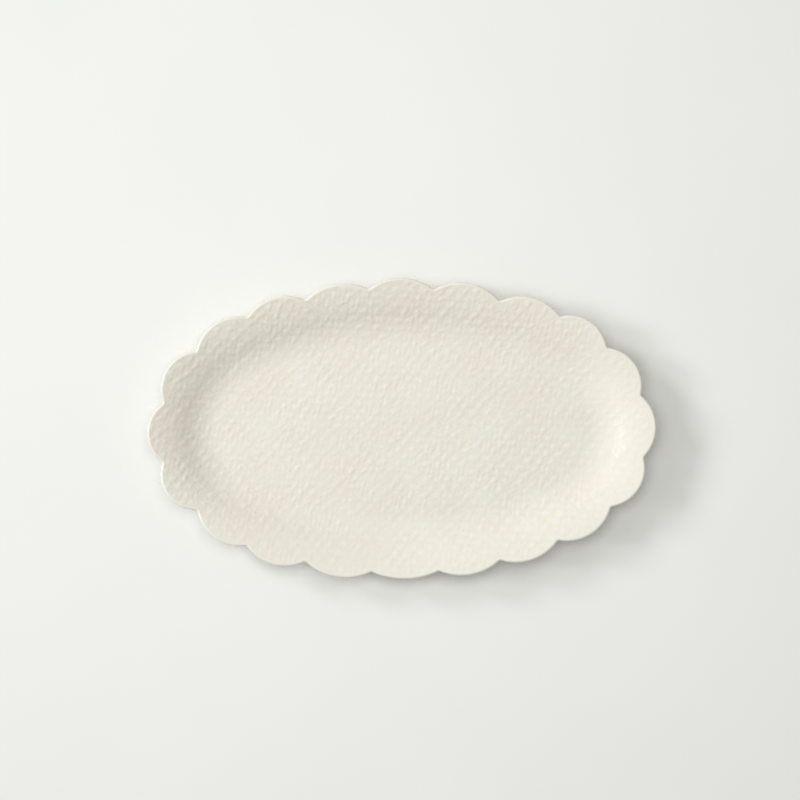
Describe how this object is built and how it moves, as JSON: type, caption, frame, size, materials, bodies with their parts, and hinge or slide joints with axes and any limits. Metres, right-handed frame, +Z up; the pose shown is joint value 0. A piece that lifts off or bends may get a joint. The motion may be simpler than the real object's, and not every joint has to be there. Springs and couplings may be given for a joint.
{
  "type": "serving platter",
  "caption": "Oval china serving platter with a scalloped rim, a broad dished well and a low foot ring.",
  "frame": {"origin": "centre of the platter in plan, on the plane that the foot ring stands on", "axes": "+X along the long axis, +Y across it, +Z up out of the well"},
  "size_m": [0.4066, 0.2434, 0.0241],
  "materials": {
    "china": "bare fired china, matt and fine-grained",
    "glaze": "ivory glaze, semi-gloss, over a pressed weave on the face"
  },
  "bodies": {
    "root": {"china_slab": "china", "foot_ring": "china", "face_glaze": "glaze", "underside_glaze": "glaze", "recess_glaze": "glaze"}
  },
  "joints": []
}
